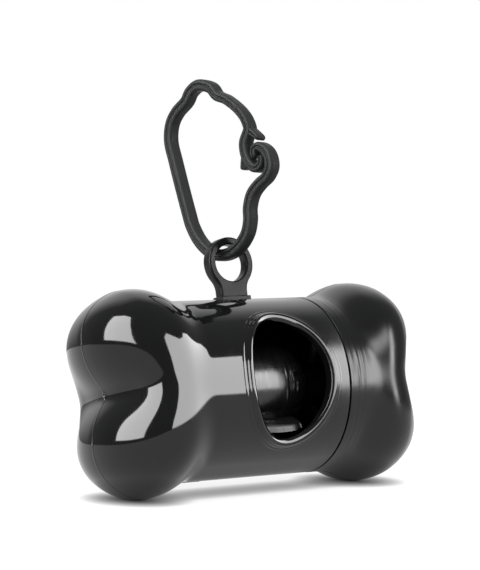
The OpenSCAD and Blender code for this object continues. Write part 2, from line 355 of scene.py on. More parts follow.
# Cross-section of the window's raised rim: distance outwards and height, then the wall inwards
RIM_SECTION = [
    (3.05, 0.0), (2.95, 0.0), (2.88, 0.03), (2.81, 0.1), (2.73, 0.15), (2.62, 0.16), (2.5, 0.13),
    (2.38, 0.11), (2.25, 0.13), (2.12, 0.2), (2.0, 0.3), (1.89, 0.37), (1.78, 0.395), (1.68, 0.4),
    (1.57, 0.43), (1.46, 0.5), (1.35, 0.59), (1.23, 0.66), (1.09, 0.69), (0.93, 0.68), (0.77, 0.63),
    (0.61, 0.54), (0.45, 0.42), (0.31, 0.27), (0.2, 0.1), (0.11, -0.1), (0.05, -0.33), (0.02, -0.6),
    (0, -0.9), (0, -1.3), (0, -1.62), (0, -WALL)]


def barrel_point(x, arc, r):
    """Point on a shell of the barrel, at an angle up from the middle of the front."""
    turn = math.pi - arc
    return np.stack([x, r * np.cos(turn), r * np.sin(turn)], -1)


def window_edge(turns, r):
    """Stations along the barrel and angles up from the front, on a shell of radius r."""
    return WINDOW_X + WINDOW_HALF[0] * np.cos(turns), np.arcsin(WINDOW_HALF[1] * np.sin(turns) / r)


def window_ring(turns, grow, height):
    """Ring round the window, grown outwards along the surface and raised over it."""
    if grow <= 0:
        r = BARREL_R + height
        return barrel_point(*window_edge(turns, r), r)
    x, arc = window_edge(turns, BARREL_R)
    ahead_x, ahead_arc = window_edge(turns + NUDGE, BARREL_R)
    back_x, back_arc = window_edge(turns - NUDGE, BARREL_R)
    along = np.stack([ahead_x - back_x, (ahead_arc - back_arc) * BARREL_R], -1)
    along /= np.linalg.norm(along, axis=1, keepdims=True)
    return barrel_point(x + along[:, 1] * grow, arc - along[:, 0] * grow / BARREL_R, BARREL_R + height)


def patch_outline(x_from, x_to):
    """Outline of the front patch of the barrel, on the same angles as the rest."""
    arcs = math.pi - TURNS[(TURNS > FRONT_FROM - SAME) & (TURNS < FRONT_TO + SAME)]
    between = arcs[1:-1]
    stations = np.linspace(x_from, x_to, PATCH_STEPS + 1)
    x = np.concatenate([stations, np.full(len(between), x_to), stations[::-1],
                        np.full(len(between), x_from)])
    arc = np.concatenate([np.full(len(stations), arcs[0]), between,
                          np.full(len(stations), arcs[-1]), between[::-1]])
    return x, arc


def patch_angles(x, arc):
    """Angle round the window of each point of the patch's outline."""
    half_x, half_arc = (x.max() - x.min()) / 2, arc.max()
    return np.arctan2(arc / half_arc, (x - WINDOW_X) / half_x)


def barrel_skin(skin, x_from, x_to, r, window, rows):
    """Barrel wall between two stations on one radius, with the window's ring left open."""
    x, arc = patch_outline(x_from, x_to)
    in_x, in_arc = window[:, 0], np.arcsin(window[:, 2] / r)
    rings = []
    for row in range(rows + 1):
        share = (row / rows) ** PATCH_DRAW
        rings.append(barrel_point(in_x + (x - in_x) * share, in_arc + (arc - in_arc) * share, r))
    skin.strip(rings)
    back = np.concatenate([TURNS[TURNS > FRONT_TO - SAME] - FULL_TURN, TURNS[TURNS < FRONT_FROM + SAME]])
    stations = np.linspace(x_from, x_to, PATCH_STEPS + 1)
    skin.strip([round_ring(station, r, back) for station in stations], closed=False)


# Thread on neck and skirt: phase of its middle, then half widths of crest and foot, as shares of
# the pitch
NECK_THREAD = (0.5, 0.1, 0.26)
SKIRT_THREAD = (0.0, 0.07, 0.2)
NECK_ROOT_R = NECK_R - 0.4
NECK_CREST_R = NECK_R + 0.14
SKIRT_ROOT_R = SKIRT_BORE_R + 0.12
SKIRT_CREST_R = SKIRT_BORE_R - 0.42
THREAD_STEP = 0.14
THREAD_FADE = 0.8
THREAD_INSET = 0.3


def thread_wave(x, turns, form):
    """Height share of a helical thread, from 0 to 1."""
    centre, flat, foot = form
    phase = (x / THREAD_PITCH - turns / FULL_TURN) % 1.0
    away = np.abs((phase - centre + 0.5) % 1.0 - 0.5)
    return smooth_step((foot - away) / (foot - flat))


def thread_rings(x_from, x_to, root, crest, form, turn=0.0):
    """Rings of a threaded wall that fades in and out at both ends."""
    rings = []
    for x in np.linspace(x_from, x_to, int((x_to - x_from) / THREAD_STEP)):
        fade = max(min(1.0, (x - x_from) / THREAD_FADE, (x_to - x) / THREAD_FADE), 0.0)
        rings.append(round_ring(x, root + (crest - root) * thread_wave(x, TURNS + turn, form) * fade))
    return rings


def round_edge(x_from, r_from, x_to, r_to, steps=5):
    """Rings over a quarter round from one station and radius to another, bulging outwards."""
    rings = []
    for turn in math.pi / 2 * np.arange(steps + 1) / steps:
        rings.append(round_ring(x_from + (x_to - x_from) * math.sin(turn),
                                r_to + (r_from - r_to) * math.cos(turn)))
    return rings


def neck_rings():
    """Rings from the barrel's open edge over the threaded neck and back along its bore."""
    rings = round_edge(BARREL_END_X - EDGE, BARREL_R, BARREL_END_X, BARREL_R - EDGE)
    rings += [round_ring(BARREL_END_X, NECK_R + 0.1), round_ring(SEAM_X + 0.05, NECK_R - 0.25)]
    rings += thread_rings(SEAM_X + THREAD_INSET, NECK_END_X - THREAD_INSET, NECK_ROOT_R, NECK_CREST_R,
                          NECK_THREAD)
    end, bore = NECK_END_X, NECK_BORE_R
    profile = [(end - 0.3, NECK_ROOT_R), (end - 0.1, NECK_ROOT_R - 0.07), (end, NECK_ROOT_R - 0.3),
               (end, bore + 0.25), (end - 0.07, bore + 0.07), (end - 0.25, bore),
               (SHOULDER_X + 0.2, bore), (SHOULDER_X, bore + 0.2), (SHOULDER_X, CAVITY_R)]
    return rings + [round_ring(x, r) for x, r in profile]


def add_left_end(skin):
    """Left bone end, with its parting line and the mould's marks at its tip."""
    rings = with_marks(with_ridge(end_rings(SEAM_X, LEFT_STEPS, marked_lifts())))
    skin.strip([ring * MIRROR for ring in rings])
    tip = bone_tip()
    tip[0] += mark_height(0, 0)
    skin.close(rings[-1] * MIRROR, tip * MIRROR)


def add_left_hollow(skin):
    rings = end_rings(SEAM_X, INNER_STEPS, even_lifts(INNER_OVER_STEPS), WALL)
    skin.strip([ring * MIRROR for ring in rings])
    skin.close(rings[-1] * MIRROR, bone_tip(WALL) * MIRROR)


def make_barrel():
    """Left half of the housing: bone end, wall with the rimmed window, neck and hollow."""
    skin = Skin()
    add_left_end(skin)
    wall_end_x = BARREL_END_X - EDGE
    turns = patch_angles(*patch_outline(-SEAM_X, wall_end_x))
    rim = [window_ring(turns, grow, height) for grow, height in RIM_SECTION]
    barrel_skin(skin, -SEAM_X, wall_end_x, BARREL_R, rim[0], OUTER_ROWS)
    skin.strip(rim)
    barrel_skin(skin, -SEAM_X, SHOULDER_X, CAVITY_R, rim[-1], INNER_ROWS)
    skin.strip(neck_rings())
    add_left_hollow(skin)
    return skin.build("bone_barrel")


# Faint relief on the cap's skirt: sink marks as height, spacing and turns, and thin worn rings
RIPPLE_FROM_X, RIPPLE_RISE = CAP_FACE_X + 0.4, 0.6
RIPPLE_TO_X, RIPPLE_FALL = 21.5, 3
SINK_MARKS = [(0.012, 1.5, -1), (0.006, 0.83, 2)]
STREAKS_X = (16.1, 16.9, 18.8, 19.4)
STREAK_D, STREAK_W = 0.012, 0.1


def cap_ripple(rings):
    """Sink marks where the thread stands behind the skirt, and rings worn by turning the cap."""
    for ring in rings:
        x = ring[:, 0]
        turn = np.arctan2(ring[:, 2], ring[:, 1])
        share = np.clip((x - RIPPLE_FROM_X) / RIPPLE_RISE, 0, 1)
        share = share * np.clip((RIPPLE_TO_X - x) / RIPPLE_FALL, 0, 1)
        wave = 0
        for height, spacing, turns in SINK_MARKS:
            wave = wave + height * share * np.sin(FULL_TURN * x / spacing + turns * turn)
        for streak in STREAKS_X:
            wave = wave - STREAK_D * hump(x - streak, STREAK_W)
        ring[:, 1] += wave * np.cos(turn)
        ring[:, 2] += wave * np.sin(turn)
    return rings


def skirt_rings():
    """Rings from the skirt's inner end along its thread and round its edge at the seam."""
    thread = thread_rings(CAP_FACE_X + 0.5, SKIRT_END_X - THREAD_INSET, SKIRT_ROOT_R, SKIRT_CREST_R,
                          SKIRT_THREAD, CAP_REST_TURN)
    face = [round_ring(CAP_START_X + 0.2, SKIRT_ROOT_R), round_ring(CAP_START_X, SKIRT_BORE_R + 0.3)]
    edge = round_edge(CAP_START_X + EDGE, BARREL_R, CAP_START_X, BARREL_R - EDGE)
    return [round_ring(SKIRT_END_X, SKIRT_BORE_R)] + thread[::-1] + face + edge[::-1]


def make_cap():
    """Right half of the housing: hollow bone end with a threaded skirt."""
    skin = Skin()
    skin.strip(skirt_rings())
    shell = cap_ripple(with_ridge(end_rings(CAP_START_X + EDGE, CAP_STEPS, even_lifts(OVER_STEPS))))
    shell[0] = round_ring(CAP_START_X + EDGE, BARREL_R)
    skin.strip(shell)
    skin.close(shell[-1], bone_tip())
    hollow = [round_ring(SKIRT_END_X, SKIRT_BORE_R), side_ring(SKIRT_END_X + 0.15, WALL)]
    hollow += [over_ring(lift, WALL) for lift in even_lifts(INNER_OVER_STEPS)[1:]]
    skin.strip(hollow)
    skin.close(hollow[-1], bone_tip(WALL))
    return skin.build("bone_cap", turn=CAP_REST_TURN)


# Turned posts that hold the roll; a closed end stops just short of the axis
LATHE_STEPS = 96
AXIS_R = 0.01
POST_FLARE = 0.7
STUB_FLARE = 0.5
BORE_EDGE = 0.15


def lathe(name, profile):
    """Closed solid of revolution about the barrel's axis from stations and radii."""
    skin = Skin()
    turns = np.linspace(0, FULL_TURN, LATHE_STEPS, endpoint=False)
    skin.strip([round_ring(x, r, turns) for x, r in profile + profile[:1]])
    return skin.build(name)


def post_end(end, way, r, bore):
    """Profile over a post's open end, from its bore to its side; way is 1 if it opens to the left."""
    return [(end + way * BORE_EDGE, bore), (end, bore + BORE_EDGE), (end, r - 0.35),
            (end + way * 0.1, r - 0.12), (end + way * 0.4, r)]


def make_cap_post():
    """Post on the cap's inner face, with a closed bore."""
    middle_x, floor_x = bone_tip(WALL / 2)[0], bone_tip(WALL)[0]
    bore, bore_x = POST_R - POST_WALL, floor_x - POST_WALL
    foot = [(floor_x - 1.2, POST_R), (floor_x - 0.5, POST_R + 0.2), (floor_x, POST_R + POST_FLARE),
            (middle_x, POST_R + POST_FLARE), (middle_x, AXIS_R), (bore_x, AXIS_R), (bore_x, bore - 0.3),
            (bore_x - 0.3, bore)]
    return lathe("cap_post", foot + post_end(POST_START_X, 1, POST_R, bore))


def make_stub():
    """Stub inside the left tip that the roll's core turns on."""
    middle_x, floor_x = -bone_tip(WALL / 2)[0], -bone_tip(WALL)[0]
    bore = STUB_R - POST_WALL
    foot = [(floor_x + 1, STUB_R), (floor_x + 0.3, STUB_R + 0.3), (middle_x, STUB_R + STUB_FLARE),
            (middle_x, bore)]
    return lathe("roll_stub", foot + post_end(CORE_LEFT_X + STUB_LEN, -1, STUB_R, bore))


# Eyelet plate and its pad, drawn from the front and given a thickness
ARC_STEPS = 96
HOLE_STEPS = 73
FILLET_STEPS = 12
PLATE_BEVEL = 0.4
PAD_BEVEL = 0.22
FLAT = 0.9999


def arc_points(middle, r, start, stop, steps):
    turns = np.linspace(start, stop, steps)
    return [(middle[0] + r * math.cos(turn), middle[1] + r * math.sin(turn)) for turn in turns]


def plate_curve(name, loops, thickness, bevel):
    """Filled outline with its holes, pushed out to a thickness and given rounded edges."""
    curve = bpy.data.curves.new(name, "CURVE")
    curve.dimensions = "2D"
    curve.fill_mode = "BOTH"
    for loop in loops:
        spline = curve.splines.new("POLY")
        spline.points.add(len(loop) - 1)
        for point, (x, z) in zip(spline.points, loop):
            point.co = (x * MM, z * MM, 0, 1)
        spline.use_cyclic_u = True
    curve.extrude = (thickness / 2 - bevel) * MM
    curve.bevel_depth = bevel * MM
    curve.bevel_resolution = 4
    curve.offset = -bevel * MM
    return curve


def bevelled_plate(name, loops, thickness, bevel):
    """Plate that stands in the XZ plane over the barrel's axis."""
    holder = add_object(name, plate_curve(name, loops, thickness, bevel))
    bpy.context.view_layer.update()
    mesh = bpy.data.meshes.new_from_object(holder.evaluated_get(bpy.context.evaluated_depsgraph_get()))
    bpy.data.objects.remove(holder)
    mesh.transform(Matrix.Translation((0, 0, AXIS_Z * MM)) @ Matrix.Rotation(math.radians(90), 4, "X"))
    weld_mesh(mesh, SAME)
    for polygon in mesh.polygons:
        polygon.use_smooth = abs(polygon.normal.y) < FLAT
    return add_object(name, mesh)


def make_eyelet():
    half, fillet = PLATE_NECK_W / 2, PLATE_FILLET
    blend_x = half + fillet
    blend_z = RING_Z - math.sqrt((RING_R + fillet) ** 2 - blend_x ** 2)
    lean = math.atan2(blend_z - RING_Z, blend_x)
    middle = (EYELET_X, RING_Z)
    ring = arc_points(middle, RING_R, lean, math.pi - lean, ARC_STEPS)
    left = arc_points((EYELET_X - blend_x, blend_z), fillet, -lean, 0, FILLET_STEPS)
    right = arc_points((EYELET_X + blend_x, blend_z), fillet, math.pi, math.pi + lean, FILLET_STEPS)
    feet = [(EYELET_X - half, PLATE_FOOT_Z), (EYELET_X + half, PLATE_FOOT_Z)]
    hole = arc_points(middle, RING_HOLE_R, 0, FULL_TURN, HOLE_STEPS)[:-1]
    return bevelled_plate("eyelet", [ring + left[1:] + feet + right[:-1], hole], PLATE_T, PLATE_BEVEL)


def make_pad():
    left, right = (EYELET_X + side * (PLATE_NECK_W / 2 + PAD_EDGE) for side in (-1, 1))
    top = BARREL_R + PAD_H
    outline = [(left, PLATE_FOOT_Z), (right, PLATE_FOOT_Z), (right, top), (left, top)]
    return bevelled_plate("eyelet_pad", [outline], PLATE_T + 2 * PAD_EDGE, PAD_BEVEL)


# Strap clip: width and depth, a little over the solid's, then corners and grooves, which are as wide
# as a share of the strap's width, and tips that narrow and thin out
STRAP_W = 2.7
STRAP_D = 3.1
BRANCH_D = STRAP_D - 0.3
STRAP_CORNER = 0.3
CORNER_STEPS = 7
GROOVE_W = 0.24
GROOVE_D = 0.32
GROOVE_END = 1.3
GROOVE_SHARES = (1.3, 1.1, 0.9, 0.65, 0.35, 0, -0.35, -0.65, -0.9, -1.1, -1.3)
STRAP_TIP = 0.7
TIP_NARROW, TIP_THIN = 0.75, 0.4
LINE_STEPS = 10

# Middle lines in the clip's plane, with the share of the full width at each point
LOOP_POINTS = [
    (13.95, 20.1, 0.56), (14, 19, 0.58), (13.55, 18, 0.62), (12.4, 17.45, 0.7),
    (11.3, 17.85, 0.77), (10.2, 19.25, 0.84), (9.5, 20.95, 0.89), (9.35, 22.75, 0.93),
    (9.6, 24.15, 0.93), (10.4, 25.45, 0.88), (11.1, 26.65, 0.82), (10.9, 28.05, 0.8),
    (10.1, 29.9, 0.78), (8.4, 32.1, 0.78), (5.6, 34.65, 0.8), (2.9, 36.25, 0.88),
    (1.2, 38.5, 0.98), (-2.2, 39.85, 1), (-5, 38.95, 1), (-6.8, 37.05, 1), (-10, 35.25, 1),
    (-12.2, 32.75, 1), (-13.1, 28.95, 1), (-12.4, 24.25, 1), (-11.3, 17.85, 1),
    (-10.1, 11.45, 1), (-9.3, 8.05, 1), (-7.3, 4.15, 1), (-4, 1, 1), (0, 0, 1),
    (3.8, 0.95, 1), (6.8, 3.45, 1), (8.1, 6.35, 1), (8.5, 9.25, 1), (9.9, 12.05, 1),
    (12.3, 13.85, 0.94), (14.6, 14.95, 0.9), (16, 16.55, 1), (16.3, 18.25, 1),
    (15.9, 19.95, 0.96), (15, 21.25, 0.86), (13.6, 22.15, 0.76), (12.4, 21.85, 0.66),
    (12.05, 20.8, 0.58), (12.2, 19.75, 0.56)]
EAR_POINTS = [(11.1, 26.5, 0.7), (12.45, 25.35, 0.6), (13.5, 24.4, 0.48), (14.1, 23.6, 0.35)]
HEEL_POINTS = [(9.3, 20.55, 0.7), (9.05, 19.2, 0.85), (9, 17.75, 1.15)]


def smooth_line(points, steps):
    """Catmull-Rom curve through the points, with values as well as places."""
    points = np.array(points, float)
    last = len(points) - 1
    line = []
    for i in range(last):
        here, there = points[i], points[i + 1]
        before, after = points[max(i - 1, 0)], points[min(i + 2, last)]
        for t in np.arange(steps) / steps:
            line.append(here + (there - before) * t / 2
                        + (2 * before - 5 * here + 4 * there - after) * t ** 2 / 2
                        + (3 * here - before - 3 * there + after) * t ** 3 / 2)
    line.append(points[last])
    return np.array(line)


def line_ways(line):
    """Direction of a flat line at each of its points, with length 1."""
    step = np.gradient(line, axis=0)
    return step / np.linalg.norm(step, axis=1, keepdims=True)


def strap_section(width, depth):
    """Rounded strap section with a soft groove along each face."""
    corner = STRAP_CORNER * width
    x, y, half_groove = width / 2 - corner, depth / 2 - corner, GROOVE_W * width / 2
    points = []
    for middle, start, side in (((x, y), 0, 1), ((-x, y), 90, 0), ((-x, -y), 180, -1), ((x, -y), 270, 0)):
        points += arc_points(middle, corner, math.radians(start), math.radians(start + 90), CORNER_STEPS)
        for share in GROOVE_SHARES if side else ():
            dip = GROOVE_D * math.cos(abs(share) / GROOVE_END * math.pi / 2) ** 1.5
            points.append((side * share * half_groove, side * (depth / 2 - dip)))
    return np.array(points)


def sweep_strap(name, control, depth, rounded=(True, True)):
    """Strap along a line in the clip's plane, hung in the eyelet, with rounded tips where asked."""
    line = smooth_line(control, LINE_STEPS)
    ways = line_ways(line[:, :2])
    length = np.concatenate([[0], np.cumsum(np.linalg.norm(np.diff(line[:, :2], axis=0), axis=1))])
    rings = []
    for (u, v, share), (way_u, way_v), start in zip(line, ways, length):
        to_tips = [far for far, is_round in zip((start, length[-1] - start), rounded) if is_round]
        narrow = 1 - math.sqrt(1 - (1 - min(to_tips + [STRAP_TIP]) / STRAP_TIP) ** 2)
        section = strap_section(STRAP_W * share, depth) * (1 - TIP_NARROW * narrow, 1 - TIP_THIN * narrow)
        rings.append(np.stack([u + way_v * section[:, 0], section[:, 1], v - way_u * section[:, 0]], -1))
    skin = Skin()
    skin.strip(rings)
    close_ends(skin, rings)
    made = skin.build(name, lift=0, weld=0.001, sharp=60)
    made.data.transform(Matrix.Translation((EYELET_X * MM, 0, (AXIS_Z + RING_Z + STRAP_RISE) * MM))
                        @ Matrix.Rotation(CLIP_TURN - math.pi / 2, 4, "Z"))
    return made


# Free edge of the last bag, a loose lip that stands off the roll along the window. Past one station
# it leans forward and down.
LIP_PATH = [(-7.1, -7.45), (-7.75, -7.95), (-8.4, -8.3), (-8.95, -8.75), (-9.3, -9.3), (-9.5, -9.8),
            (-9.65, -10.3), (-9.8, -10.8), (-9.92, -11.2)]
LIP_FROM_X = -9.4
LIP_TO_X = 6.6
LIP_T = 0.12
LIP_LEAN_FROM_X = -1.5
LIP_LEAN = np.array([0.27, 0.1])
LIP_TURN = math.atan2(LIP_PATH[0][1], LIP_PATH[0][0])
LIP_CLIP = 0.03
LIP_ROUND = 0.18
LIP_STEPS = 70
LIP_PATH_STEPS = 5

# Roll of film: wound bags whose right end is gathered into a creased shoulder
FILM_R = 10.75
FILM_BORE_R = 6.05
FILM_GAPS = (0.1, 0.05)
FILM_TURNS = 420
PLAIN_STEPS, NEAR_STEPS, OVER_END_STEPS = 40, 20, 110
NEAR_LEN = 3
GATHER_LEN = 7.0
GATHER_IN = 4.6
GATHER_POWER = 2.4
LAST_EDGE = 0.1
# Ends of single layers: places from the shoulder's start and drops, and the waves of their edges
LAYER_ENDS = [(-0.7, 0.07), (0.5, 0.1), (1.6, 0.12)]
LAYER_EDGE = 0.06
LAYER_WAVES = [(0.3, 2, 0.7), (0.18, 5, 2)]
# Pleats that twist round the shoulder
PLEATS = 13
PLEAT_H = 0.7
PLEAT_TWIST = 0.9
PLEAT_SHIFT = 1.1
PLEAT_WANDER = 0.35
PLEAT_FROM, PLEAT_RISE, PLEAT_FADE = 0.4, 3.2, 0.5
PLEAT_SHARP = 0.8
PLEAT_LEVEL = 0.65
PLEAT_CREST = 0.35
RIPPLE_H = 0.006
# Creases at the start of the shoulder: station, angle, half width, half angle and height
CREASES = [(4.5, 182, 0.2, 26, 0.16), (6.2, 180, 0.6, 12, 0.5), (7.4, 187, 0.5, 10, 0.5),
           (6.9, 168, 0.4, 8, 0.35)]
# Wound edge at both ends: steps down to the bore, and depth and pace of its rings
END_STEPS = 16
END_RING_D, END_RING_PACE = 0.16, 40
END_DISH = 0.25


def film_marks():
    """Random phases of the pleats' waviness, the same on every run."""
    rng = np.random.default_rng(7)
    return [(rng.uniform(0, FULL_TURN), rng.uniform(0.5, 1), rng.uniform(1, 3), rng.integers(3, 9))
            for _ in range(6)]


def layer_drop(from_start, turns):
    """Depth by which the layers that end before a station lower the film."""
    wander = sum(size * np.sin(waves * turns + shift) for size, waves, shift in LAYER_WAVES)
    return sum(drop / (1 + np.exp(-(from_start - place - wander) / LAYER_EDGE))
               for place, drop in LAYER_ENDS)


def pleat_relief(x, turns, from_start, gathered, marks):
    """Twisted pleats of the shoulder, with the faint waves of the whole roll."""
    near_end = np.clip((from_start - PLEAT_FROM) / PLEAT_RISE, 0, 1) * (1 - PLEAT_FADE * gathered ** 4)
    phase = PLEATS * turns / 2 + PLEAT_TWIST * gathered + PLEAT_SHIFT
    ripple = 0
    for shift, size, pull, waves in marks:
        phase = phase + PLEAT_WANDER * size * np.sin(waves * turns + shift + pull * gathered)
        ripple = ripple + RIPPLE_H * size * np.sin(waves * 0.5 * turns + shift + 0.3 * pull * x)
    pleat = np.abs(np.sin(phase)) ** PLEAT_SHARP - PLEAT_LEVEL
    return ripple + PLEAT_H * near_end * np.where(pleat > 0, PLEAT_CREST * pleat, pleat)


def crease_relief(x, turns):
    relief = 0
    for crease_x, angle, half_x, half_angle, height in CREASES:
        around = (np.degrees(turns) - angle + 180) % 360 - 180
        relief = relief + height * hump(x - crease_x, half_x) * hump(around, half_angle)
    return relief


def film_radius(x, turns, x_end, marks):
    """Radius of the wound film at a station: its open edge, layer ends, pleats and creases."""
    from_start = x - (x_end - GATHER_LEN)
    gathered = np.clip(from_start / GATHER_LEN, 0, 1)
    r = FILM_R - GATHER_IN * (1 - math.sqrt(1 - gathered ** GATHER_POWER))
    r = r + LAST_EDGE * ((turns - LIP_TURN) % FULL_TURN / FULL_TURN - 0.5)
    return (r - layer_drop(from_start, turns) + pleat_relief(x, turns, from_start, gathered, marks)
            + crease_relief(x, turns))


def film_end(x, way, outer, turns):
    """Wound edge of the film, from the outside down to the bore."""
    rings = []
    for step in range(1, END_STEPS + 1):
        share = step / END_STEPS
        depth = (END_RING_D * math.sin(share * END_RING_PACE) + END_DISH * share) * (step < END_STEPS)
        rings.append(round_ring(x - way * depth, outer + (FILM_BORE_R - outer) * share, turns))
    return rings


def make_film():
    """Wound film between the core's ends, closed along its bore."""
    marks = film_marks()
    turns = np.linspace(0, FULL_TURN, FILM_TURNS, endpoint=False)
    x_start, x_end = ROLL_LEFT_X + FILM_GAPS[0], ROLL_RIGHT_X - FILM_GAPS[1]
    gather_x = x_end - GATHER_LEN
    plain = np.linspace(x_start, gather_x - NEAR_LEN, PLAIN_STEPS, endpoint=False)
    near = np.linspace(plain[-1] + 0.3, gather_x, NEAR_STEPS, endpoint=False)
    over = x_end - GATHER_LEN * (1 - np.sin(np.radians(np.linspace(0, 89, OVER_END_STEPS))))
    stations = np.concatenate([plain, near, over])
    rings = [round_ring(x, film_radius(x, turns, x_end, marks), turns) for x in stations]
    right = film_end(x_end, 1, film_radius(stations[-1], turns, x_end, marks), turns)
    left = film_end(x_start, -1, film_radius(x_start, turns, x_end, marks), turns)
    skin = Skin()
    skin.strip(rings + right + left[::-1] + [rings[0]])
    return skin.build("film_roll", sharp=60)


def make_lip():
    """Thin lip that grows out of the film at both ends and leans forward to the right."""
    path = smooth_line(LIP_PATH, LIP_PATH_STEPS)
    ways = line_ways(path)
    across = np.stack([-ways[:, 1], ways[:, 0]], -1) * LIP_T / 2
    foot = np.array(LIP_PATH[0])
    free = np.clip(np.linspace(0, 2, len(path)), 0, 1)[:, None]
    rings = []
    for share in np.linspace(0, 1, LIP_STEPS):
        x = LIP_FROM_X + (LIP_TO_X - LIP_FROM_X) * share
        reach = math.sin(math.pi * min(max(share, LIP_CLIP), 1 - LIP_CLIP)) ** LIP_ROUND
        flat = foot + (path - foot) * reach - LIP_LEAN * max(x - LIP_LEAN_FROM_X, 0) * free
        ring = np.concatenate([flat + across, (flat - across)[::-1]])
        rings.append(np.stack([np.full(len(ring), x), ring[:, 0], ring[:, 1]], -1))
    skin = Skin()
    skin.strip(rings)
    close_ends(skin, rings)
    return skin.build("film_lip", sharp=50)


# Nodes of materials and of the world
WHITE = (1, 1, 1, 1)


def add_node(tree, kind, inputs=(), **settings):
    """Node with its settings made first, and its inputs then linked to sockets or set to values."""
    made = tree.nodes.new("ShaderNode" + kind)
    for name, value in settings.items():
        setattr(made, name, value)
    for place, value in dict(inputs).items():
        if isinstance(value, bpy.types.NodeSocket):
            tree.links.new(value, made.inputs[place])
        else:
            made.inputs[place].default_value = value
    return made


def new_material(name):
    """Material with its node tree and its main shader."""
    made = bpy.data.materials.new(name)
    made.use_nodes = True
    return made, made.node_tree, made.node_tree.nodes["Principled BSDF"]


def object_coordinates(tree, scale):
    place = add_node(tree, "TexCoord").outputs["Object"]
    return add_node(tree, "Mapping", {"Vector": place, "Scale": scale}).outputs["Vector"]


def noise(tree, vector, scale, detail):
    return add_node(tree, "TexNoise", {"Vector": vector, "Scale": scale, "Detail": detail}).outputs["Fac"]


def ramp(tree, value, given, wanted):
    """Value carried from one range of numbers to another."""
    ends = {"From Min": given[0], "From Max": given[1], "To Min": wanted[0], "To Max": wanted[1]}
    return add_node(tree, "MapRange", {"Value": value, **ends}).outputs["Result"]


def tint(tree, value, colours):
    ends = {"A": (*colours[0], 1), "B": (*colours[1], 1)}
    return add_node(tree, "Mix", {"Factor": value, **ends}, data_type="RGBA").outputs["Result"]


def bump(tree, height, distance, strength, before=None):
    inputs = {"Height": height, "Distance": distance, "Strength": strength}
    if before:
        inputs["Normal"] = before
    return add_node(tree, "Bump", inputs).outputs["Normal"]


def combine(tree, operation, first, second):
    return add_node(tree, "Math", {0: first, 1: second}, operation=operation).outputs[0]


def add_shaders(tree, first, second):
    return add_node(tree, "AddShader", {0: first, 1: second}).outputs[0]


def mix_shaders(tree, share, first, second):
    return add_node(tree, "MixShader", {0: share, 1: first, 2: second}).outputs[0]


# Materials: darkest and lightest colours, scales of noise per metre and depths of bumps in metres
DEEP_BLACK = ((0.004, 0.0042, 0.0042), (0.007, 0.0073, 0.0073))
SOFT_BLACK = ((0.006, 0.0063, 0.0063), (0.01, 0.0105, 0.0105))
CHARCOAL = ((0.025, 0.0262, 0.0258), (0.036, 0.0375, 0.037))
FILM_BLACK = ((0.006, 0.006, 0.0062), (0.016, 0.016, 0.0165))
CORE_GREY = ((0.026, 0.026, 0.027), (0.045, 0.045, 0.046))
EVEN = (1, 1, 1)
CLOUD_SCALE, RUB_SCALE, FLOW_SCALE, DUST_SCALE = 90, 260, 210, 2600
FLOW_DEPTH, DUST_DEPTH = 0.0001, 0.00001
FILM_LINE_SCALE, FILM_CREASE_SCALE = 900, 320
FILM_LINE_DEPTH, FILM_CREASE_DEPTH = 0.00002, 0.0001
FIBRE_SCALE, FIBRE_DEPTH = 1500, 0.00005


def moulded_plastic(name, colours, rough, wave, grain, ior=1.4, worn=None):
    """Moulded plastic: faint flow marks, soft waviness, dust-fine grain and rubbed gloss.

    worn gives two places along the barrel, in metres, and the roughness that is added between them.
    """
    made, tree, shader = new_material(name)
    place = object_coordinates(tree, EVEN)
    along = object_coordinates(tree, (1, 0.35, 0.35))
    cloud = noise(tree, place, CLOUD_SCALE, 3)
    tree.links.new(tint(tree, cloud, colours), shader.inputs["Base Color"])
    gloss = ramp(tree, noise(tree, place, RUB_SCALE, 5), (0.3, 0.75), rough)
    if worn:
        x = add_node(tree, "SeparateXYZ", {"Vector": place}).outputs["X"]
        gloss = combine(tree, "ADD", gloss, ramp(tree, x, worn[:2], (0, worn[2])))
    tree.links.new(gloss, shader.inputs["Roughness"])
    shader.inputs["IOR"].default_value = ior
    soft = bump(tree, noise(tree, along, FLOW_SCALE, 2), FLOW_DEPTH, wave)
    fine = bump(tree, noise(tree, place, DUST_SCALE, 2), DUST_DEPTH, grain, soft)
    tree.links.new(fine, shader.inputs["Normal"])
    return made


def film_material():
    """Thin black bag film: glossy, with fine stretch lines along the winding."""
    made, tree, shader = new_material("black_film")
    lines = noise(tree, object_coordinates(tree, (1, 0.15, 0.15)), FILM_LINE_SCALE, 4)
    tree.links.new(tint(tree, lines, FILM_BLACK), shader.inputs["Base Color"])
    tree.links.new(ramp(tree, lines, (0.3, 0.7), (0.17, 0.26)), shader.inputs["Roughness"])
    shader.inputs["IOR"].default_value = 1.5
    creased = noise(tree, object_coordinates(tree, EVEN), FILM_CREASE_SCALE, 4)
    soft = bump(tree, creased, FILM_CREASE_DEPTH, 0.06)
    tree.links.new(bump(tree, lines, FILM_LINE_DEPTH, 0.2, soft), shader.inputs["Normal"])
    return made


def core_material():
    """Dark grey tube with a faint spiral of fibres."""
    made, tree, shader = new_material("core_tube")
    fibres = noise(tree, object_coordinates(tree, (1, 0.2, 0.2)), FIBRE_SCALE, 5)
    tree.links.new(tint(tree, fibres, CORE_GREY), shader.inputs["Base Color"])
    tree.links.new(ramp(tree, fibres, (0.2, 0.8), (0.6, 0.8)), shader.inputs["Roughness"])
    tree.links.new(bump(tree, fibres, FIBRE_DEPTH, 0.4), shader.inputs["Normal"])
    return made


def dress(piece, body, material, replaces=None):
    """Gives a piece its material and its body, and hides the solid that it stands for."""
    piece.data.materials.clear()
    piece.data.materials.append(material)
    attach(piece, body)
    if replaces:
        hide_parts(replaces)
    return piece


